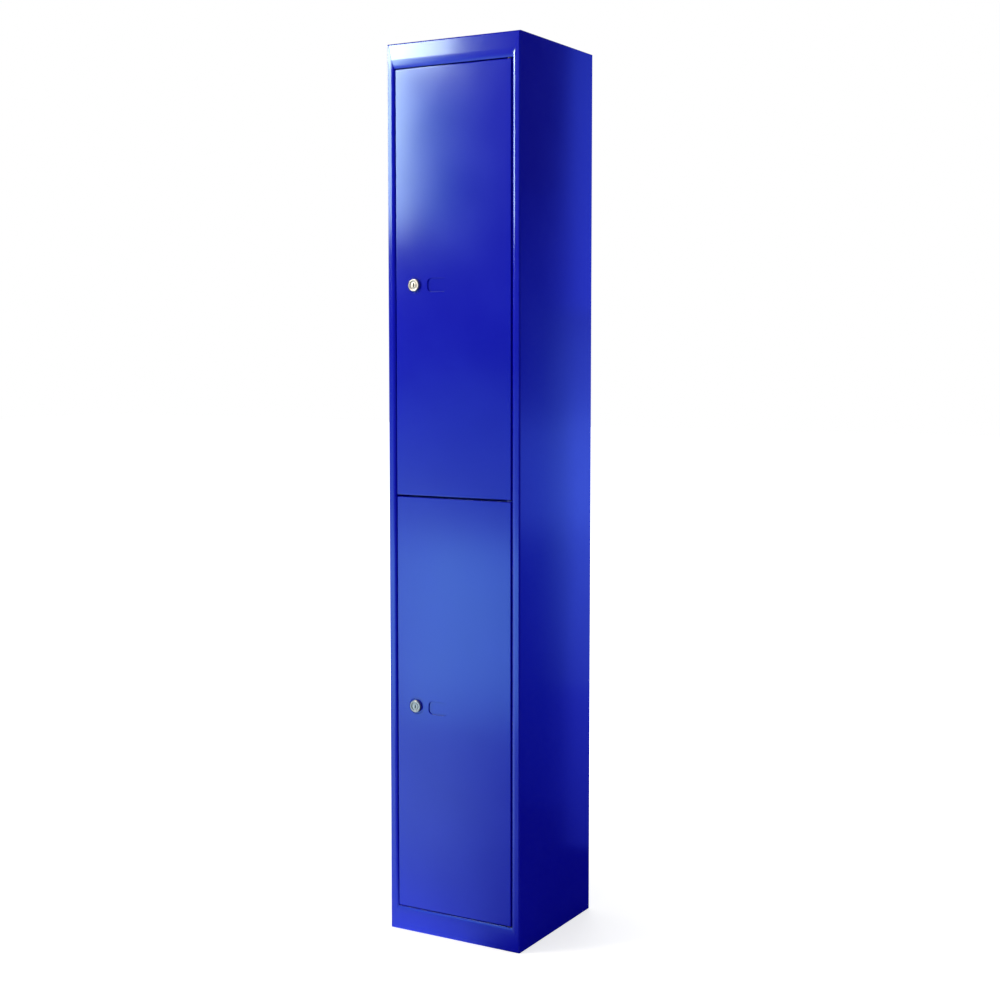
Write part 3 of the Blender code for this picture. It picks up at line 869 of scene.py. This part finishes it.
@dataclass
class DoorBuffer:
    """A rubber dome on the stop lip, which the closing door meets."""

    node: str
    rim: float = 0.0008
    fullness: float = 0.6
    dome_steps: int = 8
    steps: int = 32

    def build(self) -> None:
        """Spins the dome."""
        low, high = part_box(self.node)
        centre = ((low.x + high.x) / 2, 0.0, (low.z + high.z) / 2)
        radius, front, foot = (high.x - low.x) / 2, low.y, high.y
        shoulder = foot - self.rim
        profile = [(0, foot), (radius, foot), (radius, shoulder)]
        for angle in quarter_angles(self.dome_steps)[1:-1]:
            across = radius * math.cos(angle) ** self.fullness
            profile.append((across, shoulder - (shoulder - front) * math.sin(angle)))
        profile.append((0, front))
        dome = Workpiece(self.node + "_dome")
        dome.spin(profile, centre, FRONT_TO_BACK, self.steps)
        dome.shade(DOME_ANGLE)
        dome.fit(RUBBER.material(), RUBBER.slot, Body.CABINET.value, self.node)


class CarriedSolids:
    """Solids that stay as they are: they get their finish and, on plate, a small broken edge."""

    FINISHES = {
        POWDER_COAT: (
            "base_tray",
            "tier_shelf",
            "back_panel",
            "upper_door_stiffener",
            "lower_door_stiffener",
            "centre_pivot_bracket",
        ),
        ZINC: (
            "top_pivot_pin",
            "bottom_pivot_pin",
            "upper_lock_nut",
            "lower_lock_nut",
            "upper_lock_cam",
            "lower_lock_cam",
        ),
        NYLON: ("upper_bush_top", "upper_bush_bottom", "lower_bush_top", "lower_bush_bottom"),
    }
    BROKEN_EDGES = {
        "centre_pivot_bracket": 0.0003,
        "upper_lock_nut": 0.0006,
        "lower_lock_nut": 0.0006,
        "upper_lock_cam": 0.0004,
        "lower_lock_cam": 0.0004,
    }

    def dress(self, nodes: dict[str, bpy.types.Object]) -> None:
        """Gives each carried solid its material and edges.

        Args:
            nodes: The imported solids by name.
        """
        for finish, names in self.FINISHES.items():
            for name in names:
                solid = nodes[name]
                solid.data.materials.clear()
                solid.data.materials.append(finish.material())
                if name in self.BROKEN_EDGES:
                    weld = solid.modifiers.new("weld", "WELD")
                    weld.merge_threshold = MERGE
                    edge = solid.modifiers.new("edge", "BEVEL")
                    edge.width = self.BROKEN_EDGES[name]
                    edge.segments = 2
                    edge.limit_method = "ANGLE"
                log.info("%s stays, in %s", name, finish.slot)


@dataclass(frozen=True)
class Softbox:
    """A rectangular lamp that the camera doesn't see; its spread is in degrees."""

    name: str
    at: Point
    aim: Point
    size: tuple[float, float]
    watts: float
    colour: Colour
    spread: float = 180.0

    def hang(self) -> None:
        """Adds the lamp to the scene, facing its aim."""
        data = bpy.data.lights.new(self.name, "AREA")
        data.shape = "RECTANGLE"
        data.size, data.size_y = self.size
        data.energy = self.watts
        data.color = self.colour
        data.spread = math.radians(self.spread)
        light = bpy.data.objects.new(self.name, data)
        light.location = self.at
        light.rotation_euler = (Vector(self.aim) - Vector(self.at)).to_track_quat("-Z", "Y").to_euler()
        light.visible_camera = False
        bpy.context.scene.collection.objects.link(light)


# The key lamps give the pale glow at the upper left, the low ones the veil on the lower door,
# the rear ones the sheen on the right side, and back_fill lights the back.
LAMPS = (
    Softbox("key", (-1.12, -1.18, 1.97), (0, -0.15, 1.62), (0.55, 0.85), 21, (1, 0.86, 0.7)),
    Softbox("key_wash", (-0.92, -1.34, 1.76), (0, -0.15, 1.6), (0.3, 0.4), 0.3, (0.05, 0.86, 1)),
    Softbox("key_edge", (-0.78, -1.3, 2.15), (0, -0.15, 1.7), (0.3, 0.4), 0.12, (0.8, 0.95, 1)),
    Softbox("key_top", (-0.46, -0.6, 1.94), (-0.08, -0.15, 1.79), (0.3, 0.14), 1.9, (1, 0.8, 0.62)),
    Softbox("low_left", (-1.05, -1.35, 0.42), (0, -0.15, 0.6), (0.9, 0.5), 0.92, (0.42, 0.67, 1)),
    Softbox("low_front", (-0.5, -1.3, 0.4), (0, -0.15, 0.6), (0.6, 0.5), 1.15, (0.33, 0.6, 1)),
    Softbox("low_far", (-2.2, -3.2, 0.55), (0, -0.15, 0.6), (2.4, 0.9), 2.4, (0.36, 0.65, 1)),
    Softbox("rear_tall", (0.364, 0.628, 0.9), (0.082, 0.098, 0.953), (0.16, 2), 0.071, (0.065, 0.09, 1), 30),
    Softbox("rear_far", (2.0, 2.6, 0.7), (0.15, 0, 0.9), (1.2, 0.45), 1.3, (0.15, 0.25, 1)),
    Softbox("back_fill", (-1.5, 3.2, 2.0), (0, 0.15, 0.9), (1.6, 1.6), 26, (0.95, 0.97, 1)),
    Softbox("rear_high", (0.364, 0.628, 1.79), (0.082, 0.098, 1.695), (0.16, 1), 0.015, (0.07, 0.12, 1), 24),
    Softbox("rear_wide", (0.667, 0.828, 0.81), (0.208, -0.06, 0.9), (0.2, 1.6), 0.022, (0.02, 0.05, 1), 25),
    Softbox("rear_mid", (0.502, 1.027, 0.8), (-0.003, 0.05, 0.898), (0.35, 1), 0.0032, (0.5, 1, 0.75), 17),
)


@dataclass(frozen=True)
class Fade:
    """A soft ramp: where it starts and ends, and its level there."""

    reach: tuple[float, float]
    level: tuple[float, float]


class NodeBench:
    """A node tree at the bench, with the few joints that the studio's shaders need."""

    def __init__(self, tree: bpy.types.NodeTree) -> None:
        """Clears the tree.

        Args:
            tree: The tree to build in.
        """
        self.tree = tree
        tree.nodes.clear()

    def new(self, kind: str) -> bpy.types.Node:
        """Adds a node."""
        return self.tree.nodes.new(kind)

    def link(self, source: Socket, target: Socket) -> None:
        """Links an output to an input."""
        self.tree.links.new(source, target)

    def along(self, place: Socket, direction: Point) -> Socket:
        """Measures a place along a direction.

        Args:
            place: The coordinates.
            direction: The direction, whose length scales the result.

        Returns:
            The measure's output.
        """
        node = self.new("ShaderNodeVectorMath")
        node.operation = "DOT_PRODUCT"
        node.inputs[1].default_value = direction
        self.link(place, node.inputs[0])
        return node.outputs["Value"]

    def distance(self, place: Socket) -> Socket:
        """Measures how far a place lies from the origin.

        Args:
            place: The coordinates.

        Returns:
            The distance's output.
        """
        node = self.new("ShaderNodeVectorMath")
        node.operation = "LENGTH"
        self.link(place, node.inputs[0])
        return node.outputs["Value"]

    def fade(self, value: Socket, fade: Fade) -> Socket:
        """Adds a soft ramp.

        Args:
            value: What the ramp runs along.
            fade: Its reach and levels.

        Returns:
            The ramp's output.
        """
        node = self.new("ShaderNodeMapRange")
        node.interpolation_type = "SMOOTHSTEP"
        node.inputs["From Min"].default_value, node.inputs["From Max"].default_value = fade.reach
        node.inputs["To Min"].default_value, node.inputs["To Max"].default_value = fade.level
        self.link(value, node.inputs["Value"])
        return node.outputs["Result"]

    def combine(self, operation: str, first: Socket, second: Socket) -> Socket:
        """Works out one value from two.

        Args:
            operation: What is done with them.
            first: One value.
            second: The other.

        Returns:
            The result's output.
        """
        node = self.new("ShaderNodeMath")
        node.operation = operation
        self.link(first, node.inputs[0])
        self.link(second, node.inputs[1])
        return node.outputs[0]

    def mirrored(self, path: bpy.types.Node) -> Socket:
        """Tells rays that metal or glass sends on.

        Args:
            path: The Light Path node.

        Returns:
            An output that is 1 for such a ray.
        """
        return self.combine("MAXIMUM", path.outputs["Is Glossy Ray"], path.outputs["Is Transmission Ray"])

    def light(self, kind: str, colour: Colour, strength: Socket | float) -> Socket:
        """Adds a shader that gives light.

        Args:
            kind: The node's type, Background or Emission.
            colour: The light's colour.
            strength: Its strength, as a number or as another node's output.

        Returns:
            The shader's output.
        """
        node = self.new(kind)
        node.inputs["Color"].default_value = (*colour, 1)
        if isinstance(strength, Socket):
            self.link(strength, node.inputs["Strength"])
        else:
            node.inputs["Strength"].default_value = strength
        return node.outputs[0]

    def mix(self, share: Socket, first: Socket, second: Socket) -> Socket:
        """Mixes two shaders.

        Args:
            share: How much of the second there is.
            first: One shader.
            second: The other.

        Returns:
            The mixed shader's output.
        """
        node = self.new("ShaderNodeMixShader")
        self.link(share, node.inputs["Fac"])
        self.link(first, node.inputs[1])
        self.link(second, node.inputs[2])
        return node.outputs[0]


@dataclass
class Studio:
    """Pale floor, soft light and the photograph's camera."""

    camera_at: Point = (1.6794, -2.8736, 1.1918)
    camera_yaw: float = 29.978
    camera_pitch: float = 4.37
    lens: float = 58.136
    sensor: float = 36.0
    shift: float = -0.025
    room_light: float = 0.60
    gloss_light: float = 0.01
    backdrop_edges: tuple[float, float] = (48.0, 33.6)
    floor_size: float = 40.0
    floor_colour: Colour = (0.80, 0.80, 0.80)
    floor_wash: float = 3.0
    bounce_colour: Colour = (0.84, 1.0, 1.0)
    slant: Point = (1.0, -0.617, 0.0)
    near_fade: Fade = Fade((0.25, 1.2), (0.55, 1.0))
    left_fade: Fade = Fade((0.34, -0.04), (0.22, 1.0))
    right_fade: Fade = Fade((0.14, 0.0), (0.0, 1.0))
    far_fade: Fade = Fade((20.0, 5.0), (0.1, 1.0))

    def camera(self) -> None:
        """Makes the camera."""
        data = bpy.data.cameras.new("camera")
        data.lens = self.lens
        data.sensor_width = self.sensor
        data.shift_y = self.shift
        camera = bpy.data.objects.new("camera", data)
        camera.location = self.camera_at
        camera.rotation_euler = (math.radians(90 - self.camera_pitch), 0, math.radians(self.camera_yaw))
        bpy.context.scene.collection.objects.link(camera)
        bpy.context.scene.camera = camera

    def world(self) -> None:
        """A white backdrop behind the locker, seen by the camera and in gloss, in a dim room."""
        world = bpy.data.worlds.new("room")
        bpy.context.scene.world = world
        world.use_nodes = True
        bench = NodeBench(world.node_tree)
        where = bench.new("ShaderNodeTexCoord")
        yaw = math.radians(self.camera_yaw)
        facing = bench.along(where.outputs["Generated"], (-math.sin(yaw), math.cos(yaw), 0))
        outer, inner = (math.cos(math.radians(angle)) for angle in self.backdrop_edges)
        backdrop = bench.fade(facing, Fade((outer, inner), (self.gloss_light, 1.0)))
        path = bench.new("ShaderNodeLightPath")
        room = bench.light("ShaderNodeBackground", WHITE, self.room_light)
        gloss = bench.light("ShaderNodeBackground", WHITE, backdrop)
        white = bench.light("ShaderNodeBackground", WHITE, 1.0)
        around = bench.mix(bench.mirrored(path), room, gloss)
        out = bench.new("ShaderNodeOutputWorld")
        bench.link(bench.mix(path.outputs["Is Camera Ray"], around, white), out.inputs["Surface"])

    def floor(self) -> None:
        """A wide pale floor that keeps the locker's shadow and throws light up from the left."""
        bpy.ops.object.select_all(action="DESELECT")
        bpy.ops.mesh.primitive_plane_add(size=self.floor_size)
        floor = bpy.context.object
        floor.name = "floor"
        material = bpy.data.materials.new("floor")
        material.use_nodes = True
        bench = NodeBench(material.node_tree)
        place = bench.new("ShaderNodeTexCoord").outputs["Object"]
        path = bench.new("ShaderNodeLightPath")
        away = bench.distance(place)
        near = bench.fade(away, self.near_fade)
        left = bench.fade(bench.along(place, self.slant), self.left_fade)
        right = bench.fade(bench.along(place, LEFT_TO_RIGHT), self.right_fade)
        level = bench.combine("MULTIPLY", left, right)
        level = bench.combine("MULTIPLY", level, bench.fade(away, self.far_fade))
        strength = bench.new("ShaderNodeMath")
        strength.operation = "MULTIPLY_ADD"
        bench.link(bench.combine("MULTIPLY", path.outputs["Is Diffuse Ray"], level), strength.inputs[0])
        strength.inputs[1].default_value = self.floor_wash
        bench.link(bench.combine("MULTIPLY", path.outputs["Is Camera Ray"], near), strength.inputs[2])
        lit = bench.new("ShaderNodeBsdfDiffuse")
        lit.inputs["Color"].default_value = (*self.floor_colour, 1)
        seen = bench.new("ShaderNodeAddShader")
        bench.link(lit.outputs[0], seen.inputs[0])
        bench.link(bench.light("ShaderNodeEmission", WHITE, strength.outputs[0]), seen.inputs[1])
        thrown = bench.combine("MULTIPLY", level, near)
        bounce = bench.light("ShaderNodeEmission", self.bounce_colour, thrown)
        out = bench.new("ShaderNodeOutputMaterial")
        bench.link(bench.mix(bench.mirrored(path), seen.outputs[0], bounce), out.inputs["Surface"])
        floor.data.materials.append(material)

    def build(self) -> None:
        """Sets up the studio."""
        self.camera()
        self.world()
        self.floor()
        for lamp in LAMPS:
            lamp.hang()
        bpy.context.scene.view_settings.view_transform = "Standard"


def main() -> None:
    """Builds the locker's looks piece by piece, then the studio."""
    logging.basicConfig(level=logging.INFO, format="%(message)s")
    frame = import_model()
    CabinetShell().build()
    for tier in Tier:
        DoorSkin(tier).build()
        CamLock(tier).build()
        CoatHook(tier).build()
        for end in ("top", "bottom"):
            DoorBuffer(f"{tier.value}_buffer_{end}").build()
    CarriedSolids().dress(frame["nodes"])
    Studio().build()


if __name__ == "__main__":
    main()
